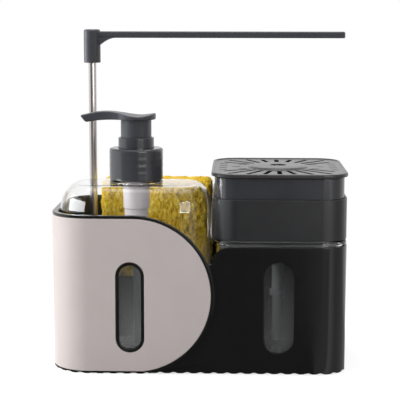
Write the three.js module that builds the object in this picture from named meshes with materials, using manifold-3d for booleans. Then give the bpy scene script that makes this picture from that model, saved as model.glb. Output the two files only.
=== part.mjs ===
// Sink caddy set: a dark caddy with a white front panel that carries a pump bottle,
// a press-down soap dispenser, a sponge and a swivelling cloth rail.
// Millimetres, +Z up. The front faces -Y, and the origin is on the counter under the
// middle of the caddy.
import * as THREE from 'three';
import { mergeVertices } from 'three/addons/utils/BufferGeometryUtils.js';
import Module from 'manifold-3d';

const wasm = await Module();
wasm.setup();

// Fits that every piece shares
const fit = 0.3; // gap where one piece seats on another, and radial gap of what slides or turns
const past = 1; // how far a cutter runs past the face that it opens
const weld = 1e-4; // vertices closer than this are one
const cornerSteps = 4; // pairs of facets in a quarter round
const archSteps = 20; // pairs of facets in the front panel's arch
const slotSteps = 1; // pairs of facets in a quarter of a small slot's end
const roundSteps = 36; // facets in a full turn of a visible round
const smallSteps = 16; // facets in a full turn of a small or hidden round

// Pump bottle
const bottleWidth = 92.7;
const bottleDepth = 55.4;
const bottleHeight = 107.7; // base to the flat round the neck
const bottleCorner = 20.5;
const bottleWall = 1.2;
const bottleFloor = 1.6;
const bottleClearance = 1.2; // all round in its compartment
const shoulderInset = 11; // rounding of the shoulder across
const shoulderDrop = 16; // and downwards
const neckWall = 2.2;
const neckHeight = 15.4;

// Press dispenser's tank, deck and tray
const tankWidth = 76.8;
const tankWall = 2;
const tankFloor = 2.4;
const tankClearance = 1; // to the partition, the front wall and the right wall
const flangeThickness = 3.1;
const sleeveOverhang = 2.6; // of the flange and sleeve past the tank's sides
const sleeveHeight = 25;
const sleeveWall = 1.3;
const deckThickness = 2.5;
const plugDepth = 6;
const plugWall = 1.8;
const plugLip = 1;
const tankGasketThickness = 1.2;
const tankGasketHeight = 3;
const trayTravel = 12;
const trayStopGap = 0.7; // left under the tray and under the plate when pressed home
const trayClearance = 0.35;
const trayWall = 1.5;
const trayFloor = 1.6;
const cupDepth = 5.5;
const plateThickness = 2.4;
const plateOverhang = 0.4; // of the plate past the sleeve
const plateRing = 1.4; // locating ring's wall under the plate
const plateRingDepth = 2;

// Drain plate's openings
const slotWidth = 2.8;
const rayStep = 13.5; // degrees between rays
const raysEachSide = 4; // on each side of the ray that points straight forward or back
const rayStart = 22;
const rayMargin = 7.5; // left between a ray's end and the plate's edge
const dashLength = 5;
const dashWidth = 1.8;
const dashPlaces = [[34.5, 5.3], [34.5, 16], [26.5, 0], [22.5, 10.7]];

// Soap outlet in the middle of the plate
const outletDiameter = 9.4;
const outletHole = 2.2;
const outletSpacing = 4.6;

// Sponge
const spongeWidth = 72.6;
const spongeHeight = 105;
const spongeThickness = 28;
const spongeCorner = 5;
const spongeEdge = 2.5;
const spongeClearance = 0.6; // to the divider in front
const spongeSideGap = 1.2; // to the partition on the right
const spongeBackGap = 2.5; // to the caddy's back wall

// Caddy shell
const wall = 1.9;
const floorUnderside = 3;
const floorThickness = 2.2;
const leftCorner = 23.5;
const rightCorner = 16;
const rimHeight = 97;
const tankWallHeight = 78;
const tankShoulder = 10.6; // rounding of the tank wall's upper left corner
const partitionThickness = 1.2;
const partitionHeight = 60;
const dividerThickness = 1.6;
const dividerHeight = 47.5;
const scallopPitch = 8.14;
const scallopWidth = 5.4;
const scallopHeight = 0.9;
const footHeight = 1.1; // of the dark foot left under the front panel
const matInset = 0.6; // from the skirt to the mat

// White front panel and the windows
const fasciaThickness = 1.4;
const fasciaBorder = 1.8; // dark rim left showing round the panel
const fasciaReach = 74; // how far back the panel runs on the left side
const archTuck = 0.4; // how far under the panel's foot its arch would close
const pegDiameter = 3.2;
const pegSpreadAcross = 25;
const pegSpreadUp = 28;
const windowWidth = 13.4;
const windowHeight = 51.8;
const windowFrame = 1.65;
const windowShift = -1.8; // from the bottle's middle
const windowLevel = 41;
const tankWindowWidth = 18;
const tankWindowHeight = 55.7;

// Cloth rail
const postDiameter = 5;
const postLength = 197.5;
const hubDiameter = 10.8;
const hubLength = 21.5;
const hubRounding = 1.6;
const hubRoof = 3.6; // solid plastic over the post's end
const bushWall = 0.9;
const armReach = 163.4;
const armThickness = 4.2;
const armDepth = 7;
const armDrop = 1.3; // from the hub's top to the arm's top
const gussetLength = 8.3;
const gussetHeight = 5.1;
const gussetBend = 4.8; // from the hub to the corner that the gusset's curve rounds off
const bossWall = 1.7;
const bossHeight = 40;

// Pump of the bottle
const closureWall = 2.6;
const closureGap = 0.8; // closure to shoulder
const closurePlate = 1.4;
const closureRounding = 1.6;
const gasketThickness = 1.2;
const housingFlange = 1.4;
const housingDiameter = 16.5;
const housingTaper = 0.45; // on the radius, top to bottom
const housingBore = 13.4;
const housingThroat = 5.8; // depth of the wide mouth that takes the head's skirt
const throatWall = 1;
const throatGap = 0.4; // throat to the neck's bore, on the radius
const collarWall = 1.25;
const collarHeight = 9.2;
const collarFlange = 1;
const collarLip = 1.4; // of the collar's flange past its sleeve
const skirtDiameter = 18.9;
const skirtWall = 1.4;
const skirtEntry = 0.6; // of the skirt into the collar at rest
const throatClearance = 0.6; // round the skirt, on the radius
const pumpTravel = 10.4;
const headStopGap = 0.6; // left between the head and the collar when pressed home
const stemDiameter = 6.6;
const stemBore = 3.2;
const guideThickness = 3;
const pistonHeight = 5;
const pistonGap = 0.9; // piston to guide at rest
const springLength = 26;
const springWire = 1.1;
const springDiameter = 11;
const springTurns = 6;
const ballDiameter = 4.8;
const ballChamber = 7.4; // depth of the ball's chamber
const valveBore = 3;
const tailDiameter = 8;
const tailLength = 14;
const tubeSocket = 6;
const dipTubeDiameter = 4.6;
const dipTubeBore = 3.2;
const dipTubeGap = 2.5; // tube's end to the vessel's floor

// Spout and thumb pad of the pump head, with heights over the head's underside
const spoutReach = 34.4;
const spoutTipTop = 2.4;
const spoutTipBottom = -1.5;
const spoutTipCut = 3.2; // how far the tip's lower edge is cut back
const spoutTipWidth = 8;
const spoutBore = 1.4;
const spoutLevel = 1.2; // the bore's middle
const humpReach = 17.5; // the spout's highest point, from the pump's axis
const humpHeight = 5;
const padRadius = 12.2;
const padBackHeight = 3.9;
const padDip = 0.3; // how low the thumb pad's curve is drawn
const padBlend = 0.8 * Math.PI; // angle from the back at which the pad turns into the spout

// Pump of the press dispenser
const pressStemDiameter = 6;
const pressStemBore = 3;
const bossDiameter = 11;
const cylinderDiameter = 16;
const cylinderBore = 13;
const cylinderFlange = 2;
const cylinderFlangeDiameter = 23;
const capDiameter = 19;
const capHeight = 4;
const capPlug = 1;
const pressPistonHeight = 5;
const nutAcross = 26;
const nutHeight = 5;
const pressBallDiameter = 5;
const pressChamber = 6;
const pressChamberWall = 1.5;
const pressNeckDiameter = 6.6;
const pressNeckLength = 18;
const pressRingDiameter = 9;
const pressRingHeight = 4;
const pressSocket = 3.4;
const pressValveBore = 3.2;
const pressTubeDiameter = 6;
const pressTubeBore = 4.4;
const pressSpringGap = 2.4; // spring to the cylinder's flange, on the radius
const pressSpringWire = 1.6;
const pressSpringTurns = 5;

// Where everything stands, worked out from the sizes above
const frontSkin = fasciaThickness + fit + wall; // panel, its gap and the wall behind it
const caddyLength = frontSkin + 2 * bottleClearance + bottleWidth + partitionThickness
  + 2 * tankClearance + tankWidth + wall;
const caddyDepth = frontSkin + 2 * bottleClearance + bottleDepth + dividerThickness
  + spongeClearance + spongeThickness + spongeBackGap + wall;
const left = -caddyLength / 2;
const right = caddyLength / 2;
const front = -caddyDepth / 2;
const back = caddyDepth / 2;
const cavityLeft = left + frontSkin;
const cavityRight = right - wall;
const cavityFront = front + frontSkin;
const cavityBack = back - wall;
const tankWallFront = front + fasciaThickness + fit;
const partitionLeft = cavityLeft + 2 * bottleClearance + bottleWidth;
const partitionRight = partitionLeft + partitionThickness;
const dividerFront = cavityFront + 2 * bottleClearance + bottleDepth;
const dividerBack = dividerFront + dividerThickness;
const bottleX = cavityLeft + bottleClearance + bottleWidth / 2;
const bottleY = cavityFront + bottleClearance + bottleDepth / 2;
const tankX = partitionRight + tankClearance + tankWidth / 2;
const tankDepth = 2 * (-cavityFront - tankClearance);
const spongeX = partitionLeft - spongeSideGap - spongeWidth / 2;
const spongeY = dividerBack + spongeClearance + spongeThickness / 2;
const postX = spongeX - spongeWidth / 2 - fit - hubDiameter / 2;
const floorTop = floorUnderside + floorThickness;
const seat = floorTop + fit; // what stands on the caddy's floor starts here
const panelFoot = footHeight + fit;
const archX = bottleX;
const archRadius = (rimHeight - panelFoot + archTuck + fasciaBorder) / 2;
const archZ = rimHeight - archRadius;

const group = new THREE.Group();

// Solids: every geometry becomes a closed solid with its faces out

function solid(geometry) {
  const bare = new THREE.BufferGeometry();
  bare.setAttribute('position', geometry.getAttribute('position'));
  bare.setIndex(geometry.getIndex());
  const merged = mergeVertices(bare, weld);
  const points = merged.getAttribute('position');
  const index = merged.getIndex();
  const corners = [new THREE.Vector3(), new THREE.Vector3(), new THREE.Vector3()];
  const triangles = [];
  let volume = 0;
  for (let i = 0; i < index.count; i += 3) {
    const triangle = [index.getX(i), index.getX(i + 1), index.getX(i + 2)];
    if (new Set(triangle).size < 3) continue;
    triangle.forEach((vertex, k) => corners[k].fromBufferAttribute(points, vertex));
    volume += corners[0].dot(corners[1].clone().cross(corners[2]));
    triangles.push(triangle);
  }
  const outward = volume > 0 ? triangles : triangles.map(([a, b, c]) => [a, c, b]);
  return new wasm.Manifold(new wasm.Mesh({
    numProp: 3,
    vertProperties: new Float32Array(points.array),
    triVerts: new Uint32Array(outward.flat()),
  }));
}

function join(first, ...others) {
  return others.reduce((sum, other) => sum.add(other), first);
}

function cut(first, ...others) {
  return others.reduce((rest, other) => rest.subtract(other), first);
}

// Materials

function plastic(color, roughness) {
  return new THREE.MeshStandardMaterial({ color, roughness, metalness: 0 });
}

function clear(color) {
  return new THREE.MeshStandardMaterial({
    color, roughness: 0.05, metalness: 0, transparent: true, opacity: 0.35,
  });
}

function steel(roughness) {
  return new THREE.MeshStandardMaterial({ color: 0xc8c8c8, roughness, metalness: 1 });
}

const satinBlack = plastic(0x1c1d1f, 0.45);
const charcoal = plastic(0x2f3033, 0.4);
const charcoalGloss = plastic(0x2f3033, 0.25);
const warmWhite = plastic(0xe4dedb, 0.4);
const white = plastic(0xf0eeec, 0.45);
const seal = plastic(0xd8d8d4, 0.8);
const rubber = plastic(0x1c1d1f, 0.9);
const cellulose = plastic(0xd0b030, 0.95);
const clearPlastic = clear(0xf4f6f6);
const polished = steel(0.15);
const springWireSteel = steel(0.3);

function add(parent, name, shape, material) {
  const { vertProperties, triVerts } = shape.getMesh();
  const geometry = new THREE.BufferGeometry();
  geometry.setAttribute('position', new THREE.BufferAttribute(vertProperties, 3));
  geometry.setIndex(new THREE.BufferAttribute(triVerts, 1));
  geometry.computeVertexNormals();
  const mesh = new THREE.Mesh(geometry, material);
  mesh.name = name;
  parent.add(mesh);
}

function addGroup(x, y, z) {
  const inner = new THREE.Group();
  inner.position.set(x, y, z);
  group.add(inner);
  return inner;
}

// Basic forms

// An outline in plan, with one radius on its left corners and one on its right corners
function rectangle(x0, x1, y0, y1, leftRadius, rightRadius) {
  const shape = new THREE.Shape();
  shape.absarc(x1 - rightRadius, y0 + rightRadius, rightRadius, -Math.PI / 2, 0);
  shape.absarc(x1 - rightRadius, y1 - rightRadius, rightRadius, 0, Math.PI / 2);
  if (leftRadius > 0) {
    shape.absarc(x0 + leftRadius, y1 - leftRadius, leftRadius, Math.PI / 2, Math.PI);
    shape.absarc(x0 + leftRadius, y0 + leftRadius, leftRadius, Math.PI, 1.5 * Math.PI);
  } else {
    shape.lineTo(x0, y1);
    shape.lineTo(x0, y0);
  }
  shape.closePath();
  return shape;
}

function centred(width, depth, radius) {
  return rectangle(-width / 2, width / 2, -depth / 2, depth / 2, radius, radius);
}

// A shape in plan, raised from bottom to top
function prism(shape, bottom, top, steps = cornerSteps) {
  const options = { depth: top - bottom, bevelEnabled: false, curveSegments: steps };
  return solid(new THREE.ExtrudeGeometry(shape, options).translate(0, 0, bottom));
}

// A shape seen from the front, run back from y0 to y1
function slab(shape, y0, y1, steps = cornerSteps) {
  const options = { depth: y1 - y0, bevelEnabled: false, curveSegments: steps };
  const geometry = new THREE.ExtrudeGeometry(shape, options);
  return solid(geometry.rotateX(Math.PI / 2).translate(0, y1, 0));
}

function box(x0, x1, y0, y1, z0, z1) {
  const geometry = new THREE.BoxGeometry(x1 - x0, y1 - y0, z1 - z0);
  return solid(geometry.translate((x0 + x1) / 2, (y0 + y1) / 2, (z0 + z1) / 2));
}

// A rounded block whose edges curve in by inset over the height drop, at both ends
function pillow(width, depth, radius, bottom, top, inset, drop) {
  const shape = centred(width - 2 * inset, depth - 2 * inset, radius - inset);
  const options = {
    depth: top - bottom - 2 * drop,
    bevelEnabled: true,
    bevelSize: inset,
    bevelThickness: drop,
    bevelSegments: cornerSteps,
    curveSegments: cornerSteps,
  };
  return new THREE.ExtrudeGeometry(shape, options).translate(0, 0, bottom + drop);
}

// A profile of [radius, height] pairs, turned about the Z axis
function turned(profile, steps = roundSteps) {
  const points = profile.map(([radius, height]) => new THREE.Vector2(radius, height));
  return solid(new THREE.LatheGeometry(points, steps).rotateX(Math.PI / 2));
}

function rod(diameter, bottom, top, steps = smallSteps) {
  const radius = diameter / 2;
  return turned([[0, bottom], [radius, bottom], [radius, top], [0, top]], steps);
}

function tube(outer, inner, bottom, top, steps = smallSteps) {
  const profile = [[inner, bottom], [outer, bottom], [outer, top], [inner, top], [inner, bottom]];
  return turned(profile.map(([diameter, height]) => [diameter / 2, height]), steps);
}

function ball(diameter, centre) {
  const geometry = new THREE.SphereGeometry(diameter / 2, smallSteps / 2, smallSteps / 2);
  return solid(geometry.translate(0, 0, centre));
}

// An upright slot with round ends, seen from the front
function stadium(x, z, width, height) {
  return rectangle(x - width / 2, x + width / 2, z - height / 2, z + height / 2,
    width / 2, width / 2);
}

class Helix extends THREE.Curve {
  constructor(radius, bottom, top, turns) {
    super();
    Object.assign(this, { radius, bottom, top, turns });
  }

  getPoint(t, target = new THREE.Vector3()) {
    const angle = 2 * Math.PI * this.turns * t;
    const height = THREE.MathUtils.lerp(this.bottom, this.top, t);
    return target.set(this.radius * Math.cos(angle), this.radius * Math.sin(angle), height);
  }
}

function coil(diameter, wire, bottom, top, turns) {
  const wireSteps = 3; // pairs of facets round the wire
  const stepsPerTurn = 10;
  const section = new THREE.Shape();
  section.absarc(0, 0, wire / 2, 0, 2 * Math.PI);
  const path = new Helix((diameter - wire) / 2, bottom + wire / 2, top - wire / 2, turns);
  return solid(new THREE.ExtrudeGeometry(section, {
    steps: stepsPerTurn * turns, curveSegments: wireSteps, extrudePath: path,
  }));
}

// Caddy

// The arched block seen from the front, shrunk by inset, from the height bottom upwards
function archShape(inset, bottom) {
  const radius = archRadius - inset;
  const start = Math.asin((bottom - archZ) / radius);
  const shape = new THREE.Shape();
  shape.moveTo(left - past, bottom);
  shape.lineTo(archX + radius * Math.cos(start), bottom);
  shape.absarc(archX, archZ, radius, start, Math.PI / 2);
  shape.lineTo(left - past, archZ + radius);
  shape.closePath();
  return shape;
}

// The tank's block seen from the front
function tankWallShape() {
  const saddle = tankWallHeight - tankShoulder;
  const shape = new THREE.Shape();
  shape.moveTo(archX, 0);
  shape.lineTo(right + past, 0);
  shape.lineTo(right + past, tankWallHeight);
  shape.absarc(partitionLeft + tankShoulder, saddle, tankShoulder, Math.PI / 2, Math.PI);
  shape.lineTo(archX, saddle);
  shape.closePath();
  return shape;
}

// The arched block's outline in plan, shrunk by inset
function plan(inset) {
  const radius = leftCorner - inset;
  return rectangle(left + inset, right - inset, front + inset, back - inset, radius, radius);
}

// Small arches cut into the foot of the shell, square to its outline
function scallops() {
  const outline = plan(0);
  const count = Math.round(outline.getLength() / scallopPitch);
  const arch = new THREE.Shape();
  arch.moveTo(-scallopWidth / 2, -past);
  arch.lineTo(scallopWidth / 2, -past);
  arch.absellipse(0, 0, scallopWidth / 2, scallopHeight, 0, Math.PI);
  arch.closePath();
  const depth = 2 * frontSkin;
  const options = { depth, bevelEnabled: false, curveSegments: slotSteps };
  const pieces = [];
  for (let i = 0; i < count; i += 1) {
    const place = outline.getPointAt(i / count);
    const along = outline.getTangentAt(i / count);
    const geometry = new THREE.ExtrudeGeometry(arch, options);
    geometry.translate(0, 0, -depth / 2).rotateX(Math.PI / 2);
    geometry.rotateZ(Math.atan2(along.y, along.x)).translate(place.x, place.y, 0);
    pieces.push(solid(geometry));
  }
  return join(...pieces);
}

function pegs(diameter) {
  const places = [-1, 1].flatMap((across) => [-1, 1].map((up) => [across, up]));
  const pieces = places.map(([across, up]) => {
    const geometry = new THREE.CylinderGeometry(diameter / 2, diameter / 2, fit + wall, smallSteps);
    const middle = front + fasciaThickness + (fit + wall) / 2;
    const x = archX + across * pegSpreadAcross;
    return solid(geometry.translate(x, middle, archZ + up * pegSpreadUp));
  });
  return join(...pieces);
}

function caddyBody() {
  const archBlock = prism(plan(0), 0, rimHeight)
    .intersect(slab(archShape(0, 0), front - past, back + past, archSteps));
  const tankPlan = rectangle(archX, right, tankWallFront, back, 0, rightCorner);
  const tankBlock = prism(tankPlan, 0, rimHeight)
    .intersect(slab(tankWallShape(), front - past, back + past));
  const bottleRoom = prism(rectangle(cavityLeft, partitionLeft, cavityFront, cavityBack,
    leftCorner - frontSkin, wall), floorTop, rimHeight + past);
  const tankRoom = prism(rectangle(partitionRight, cavityRight, cavityFront, cavityBack,
    wall, rightCorner - wall), floorTop, rimHeight + past);
  const overPartition = box(partitionLeft - past, partitionRight + past, cavityFront + wall,
    cavityBack - wall, partitionHeight, rimHeight + past);
  const underFloor = prism(rectangle(cavityLeft, cavityRight - wall, cavityFront,
    cavityBack - wall, leftCorner - frontSkin, rightCorner - wall), -past, floorUnderside);
  const outerSkin = cut(prism(plan(-past), 0, rimHeight),
    prism(plan(fasciaThickness + fit), 0, rimHeight));
  const recess = outerSkin.intersect(slab(archShape(fasciaBorder - fit, footHeight), front - past,
    front + fasciaReach + fit, archSteps));
  const frame = slab(stadium(bottleX + windowShift, windowLevel, windowWidth + 2 * windowFrame,
    windowHeight + 2 * windowFrame), front, cavityFront - wall / 2);
  const window = slab(stadium(bottleX + windowShift, windowLevel, windowWidth, windowHeight),
    front - past, cavityFront + past);
  const tankWindow = slab(stadium(tankX, windowLevel, tankWindowWidth, tankWindowHeight),
    front - past, cavityFront + past);
  const divider = box(cavityLeft - wall / 2, partitionLeft + partitionThickness / 2,
    dividerFront, dividerBack, floorTop - past, dividerHeight);
  const bossOuter = postDiameter + 2 * fit + 2 * bossWall;
  const boss = rod(bossOuter, floorTop - past, floorTop + bossHeight).translate(postX, spongeY, 0);
  const socket = rod(postDiameter + 2 * fit, floorTop, floorTop + bossHeight + past)
    .translate(postX, spongeY, 0);
  const shell = cut(join(archBlock, tankBlock), bottleRoom, tankRoom, overPartition, underFloor,
    recess, scallops());
  return cut(join(shell, frame, divider, boss), window, tankWindow, socket,
    pegs(pegDiameter + 2 * fit));
}

function fasciaPanel() {
  const outerSkin = cut(prism(plan(0), 0, rimHeight), prism(plan(fasciaThickness), 0, rimHeight));
  const skin = outerSkin.intersect(slab(archShape(fasciaBorder, panelFoot), front - past,
    front + fasciaReach, archSteps));
  const grow = windowFrame + fit;
  const opening = slab(stadium(bottleX + windowShift, windowLevel, windowWidth + 2 * grow,
    windowHeight + 2 * grow), front - past, cavityFront);
  return join(cut(skin, opening), pegs(pegDiameter));
}

function baseMat() {
  const outline = rectangle(cavityLeft + matInset, cavityRight - wall - matInset,
    cavityFront + matInset, cavityBack - wall - matInset,
    leftCorner - frontSkin - matInset, rightCorner - wall - matInset);
  return prism(outline, 0, floorUnderside - fit);
}

function sponge() {
  const geometry = pillow(spongeWidth, spongeHeight, spongeCorner + spongeEdge,
    -spongeThickness / 2, spongeThickness / 2, spongeEdge, spongeEdge);
  return solid(geometry.rotateX(Math.PI / 2));
}

// Cloth rail, about the post's axis

const postTop = seat + postLength;
const hubTop = postTop + fit + hubRoof;
const hubBottom = hubTop - hubLength;

function railArm() {
  const radius = hubDiameter / 2;
  const hub = turned([[0, hubBottom], [radius, hubBottom], [radius, hubTop - hubRounding],
    [radius - hubRounding, hubTop], [0, hubTop]]);
  const armTop = hubTop - armDrop;
  const armBottom = armTop - armThickness;
  const tip = armDepth / 2;
  const bar = new THREE.Shape();
  bar.moveTo(0, -tip);
  bar.lineTo(armReach - tip, -tip);
  bar.absarc(armReach - tip, 0, tip, -Math.PI / 2, Math.PI / 2);
  bar.lineTo(0, tip);
  bar.closePath();
  const gusset = new THREE.Shape();
  gusset.moveTo(0, armTop - armThickness / 2);
  gusset.lineTo(0, armBottom - gussetHeight);
  gusset.lineTo(radius, armBottom - gussetHeight);
  gusset.quadraticCurveTo(radius + gussetBend, armBottom, radius + gussetLength, armBottom);
  gusset.lineTo(radius + gussetLength, armTop - armThickness / 2);
  gusset.closePath();
  const socket = rod(postDiameter + 4 * fit + 2 * bushWall, hubBottom - past, postTop + fit);
  return cut(join(hub, prism(bar, armBottom, armTop), slab(gusset, -tip, tip)), socket);
}

function railBush() {
  const bore = postDiameter + 2 * fit;
  return tube(bore + 2 * bushWall, bore, hubBottom, postTop);
}

// Pump bottle, about the pump's axis

const shoulderTop = seat + bottleHeight;
const neckTop = shoulderTop + neckHeight;
const throatBore = skirtDiameter + 2 * throatClearance;
const neckBore = throatBore + 2 * throatWall + 2 * throatGap;
const neckDiameter = neckBore + 2 * neckWall;
const gasketBottom = neckTop + fit;
const housingFlangeBottom = gasketBottom + gasketThickness + fit;
const housingTop = housingFlangeBottom + housingFlange;
const collarBottom = housingTop + fit;
const collarTop = collarBottom + collarHeight;
const closurePlateBottom = collarBottom + collarFlange + fit;
const closureTop = closurePlateBottom + closurePlate;
const closureBore = neckDiameter + 2 * fit;
const closureDiameter = closureBore + 2 * closureWall;
const collarDiameter = skirtDiameter + 2 * fit + 2 * collarWall;
const throatBottom = housingTop - housingThroat;
const guideBottom = throatBottom + fit;
const pumpPistonTop = throatBottom - pistonGap;
const pumpPistonBottom = pumpPistonTop - pistonHeight;
const pumpSpringTop = pumpPistonBottom - fit;
const pumpSpringBottom = pumpSpringTop - springLength;
const housingStep = pumpSpringBottom - fit;
const valveSeat = housingStep - ballChamber;
const tailBottom = valveSeat - tailLength;
const headBottom = collarTop + pumpTravel + headStopGap;
const stemTop = headBottom + spoutLevel;

function bottleForm(wallInset, floor) {
  const geometry = pillow(bottleWidth - 2 * wallInset, bottleDepth - 2 * wallInset,
    bottleCorner - wallInset, floor - shoulderDrop, shoulderTop - wallInset,
    shoulderInset - wallInset, shoulderDrop - wallInset);
  const room = box(-bottleWidth, bottleWidth, -bottleDepth, bottleDepth, floor, shoulderTop);
  return solid(geometry).intersect(room);
}

function lotionBottle() {
  const outside = bottleForm(0, seat);
  const inside = bottleForm(bottleWall, seat + bottleFloor);
  const neck = rod(neckDiameter, shoulderTop - bottleWall, neckTop, roundSteps);
  const mouth = rod(neckBore, shoulderTop - 2 * bottleWall, neckTop + past, roundSteps);
  return cut(join(cut(outside, inside), neck), mouth);
}

function pumpClosure() {
  const outer = closureDiameter / 2;
  const bore = closureBore / 2;
  const hole = collarDiameter / 2 + fit;
  const bottom = shoulderTop + closureGap;
  return turned([[bore, bottom], [outer, bottom], [outer, closureTop - closureRounding],
    [outer - closureRounding, closureTop], [hole, closureTop], [hole, closurePlateBottom],
    [bore, closurePlateBottom], [bore, bottom]]);
}

function pumpCollar() {
  const outer = collarDiameter / 2;
  const inner = skirtDiameter / 2 + fit;
  const flange = outer + collarLip;
  const flangeTop = collarBottom + collarFlange;
  return turned([[inner, collarBottom], [flange, collarBottom], [flange, flangeTop],
    [outer, flangeTop], [outer, collarTop], [inner, collarTop], [inner, collarBottom]]);
}

function pumpHousing() {
  const flange = neckDiameter / 2 - fit;
  const throat = throatBore / 2;
  const mouth = throat + throatWall;
  const outer = housingDiameter / 2;
  const lower = outer - housingTaper;
  const bore = housingBore / 2;
  const chamber = ballDiameter / 2 + fit;
  const tail = tailDiameter / 2;
  const socket = dipTubeDiameter / 2 + fit;
  const throatFoot = throatBottom - throatWall;
  return turned([
    [flange, housingFlangeBottom], [flange, housingTop], [throat, housingTop],
    [throat, throatBottom], [bore, throatBottom], [bore, housingStep], [chamber, housingStep],
    [chamber, valveSeat], [valveBore / 2, valveSeat - ballDiameter / 4],
    [valveBore / 2, tailBottom + tubeSocket], [socket, tailBottom + tubeSocket],
    [socket, tailBottom], [tail, tailBottom], [tail, valveSeat], [lower, housingStep],
    [outer, throatFoot], [mouth, throatFoot], [mouth, housingFlangeBottom],
    [flange, housingFlangeBottom],
  ], smallSteps);
}

function closureGasket() {
  return tube(neckDiameter - 2 * fit, throatBore + 2 * throatWall + 2 * fit, gasketBottom,
    gasketBottom + gasketThickness);
}

function stemGuide() {
  return tube(throatBore - 2 * fit, stemDiameter + 2 * fit, guideBottom,
    guideBottom + guideThickness);
}

function pumpPiston() {
  return tube(housingBore - 2 * fit, stemDiameter + 2 * fit, pumpPistonBottom, pumpPistonTop);
}

function pumpSpring() {
  return coil(springDiameter, springWire, pumpSpringBottom, pumpSpringTop, springTurns);
}

function pumpDipTube() {
  return tube(dipTubeDiameter, dipTubeBore, seat + bottleFloor + dipTubeGap,
    tailBottom + tubeSocket - fit);
}

// Thumb pad and spout: a side outline and a plan outline, crossed
function pumpHead() {
  const side = new THREE.Shape();
  side.moveTo(padRadius + past, headBottom);
  side.lineTo(padRadius + past, headBottom + padBackHeight);
  side.quadraticCurveTo(0, headBottom + padDip, -humpReach, headBottom + humpHeight);
  side.quadraticCurveTo(-(humpReach + spoutReach) / 2, headBottom + humpHeight,
    -spoutReach, headBottom + spoutTipTop);
  side.lineTo(-spoutReach + spoutTipCut, headBottom + spoutTipBottom);
  side.quadraticCurveTo(-humpReach, headBottom, -skirtDiameter / 2, headBottom);
  side.closePath();
  const tip = spoutTipWidth / 2;
  const blendX = padRadius * Math.cos(padBlend);
  const blendY = padRadius * Math.sin(padBlend);
  const above = new THREE.Shape();
  above.moveTo(-spoutReach - past, -tip);
  above.quadraticCurveTo(-humpReach, -tip, blendX, -blendY);
  above.absarc(0, 0, padRadius, -padBlend, padBlend);
  above.quadraticCurveTo(-humpReach, tip, -spoutReach - past, tip);
  above.closePath();
  const top = slab(side, -padRadius - past, padRadius + past)
    .intersect(prism(above, headBottom + spoutTipBottom - past, headBottom + humpHeight + past));
  const skirt = tube(skirtDiameter, skirtDiameter - 2 * skirtWall, collarTop - skirtEntry,
    headBottom + fit, roundSteps);
  const post = rod(stemDiameter + 2 * fit + 2 * skirtWall, collarTop, headBottom + fit);
  const socket = rod(stemDiameter + 2 * fit, collarTop - past, stemTop + fit);
  const radius = spoutBore / 2;
  const way = new THREE.CylinderGeometry(radius, radius, spoutReach + past, smallSteps);
  way.rotateZ(Math.PI / 2).translate(-(spoutReach + past) / 2, 0, headBottom + spoutLevel);
  return cut(join(top, skirt, post), socket, solid(way));
}

// Press dispenser, about the tank's axis

const tankTop = tankWallHeight + fit + flangeThickness;
const deckBottom = tankTop + fit;
const deckTop = deckBottom + deckThickness;
const sleeveTop = deckBottom + sleeveHeight;
const sleeveWidth = tankWidth + 2 * sleeveOverhang;
const sleeveDepth = tankDepth + 2 * sleeveOverhang;
const sleeveCorner = rightCorner - wall - tankClearance + sleeveOverhang;
const trayInset = sleeveWall + trayClearance; // from the sleeve's outside to the tray's
const trayTop = sleeveTop + trayTravel + trayStopGap;
const trayBottom = deckTop + trayTravel + trayStopGap;
const cupFloor = trayTop - cupDepth;
const trayUnderside = cupFloor - trayFloor;
const plateBottom = trayTop + fit;
const plateTop = plateBottom + plateThickness;
const cylinderTop = deckTop + fit + cylinderFlange;
const capTop = cylinderTop + fit + capHeight;
const trayBossBottom = capTop + trayTravel + trayStopGap;
const pressPistonTop = cylinderTop - capPlug - fit;
const pressPistonBottom = pressPistonTop - pressPistonHeight;
const boreBottom = pressPistonBottom - trayTravel - trayStopGap;
const pressSeat = boreBottom - pressChamber;
const pressNeckBottom = pressSeat - pressNeckLength;
const pressRingBottom = pressNeckBottom - pressRingHeight;
const pressStemTop = cupFloor + pressStemBore;

// An outline of the sleeve, shrunk by inset
function sleevePlan(inset) {
  return centred(sleeveWidth - 2 * inset, sleeveDepth - 2 * inset, sleeveCorner - inset);
}

function soapTank() {
  const body = prism(sleevePlan(sleeveOverhang), seat, tankTop);
  const flange = prism(sleevePlan(0), tankTop - flangeThickness, tankTop);
  const inside = prism(sleevePlan(sleeveOverhang + tankWall), seat + tankFloor, tankTop + past);
  return cut(join(body, flange), inside);
}

function tankDeck() {
  const plugInset = sleeveOverhang + tankWall + tankGasketThickness + 2 * fit;
  const sleeve = prism(sleevePlan(0), deckBottom, sleeveTop);
  const room = prism(sleevePlan(sleeveWall), deckTop, sleeveTop + past);
  const plug = prism(sleevePlan(plugInset), deckBottom - plugDepth, deckBottom);
  const lip = prism(sleevePlan(sleeveOverhang + tankWall + fit), deckBottom - plugDepth - plugLip,
    deckBottom - plugDepth);
  const hollow = prism(sleevePlan(plugInset + plugWall), deckBottom - plugDepth - plugLip - past,
    deckBottom);
  const hole = rod(cylinderDiameter + 2 * fit, deckBottom - past, deckTop + past, roundSteps);
  return cut(join(cut(sleeve, room), cut(join(plug, lip), hollow)), hole);
}

function tankGasket() {
  const bottom = deckBottom - plugDepth + fit;
  const outside = sleeveOverhang + tankWall + fit;
  const top = bottom + tankGasketHeight;
  return cut(prism(sleevePlan(outside), bottom, top),
    prism(sleevePlan(outside + tankGasketThickness), bottom - past, top + past));
}

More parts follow.
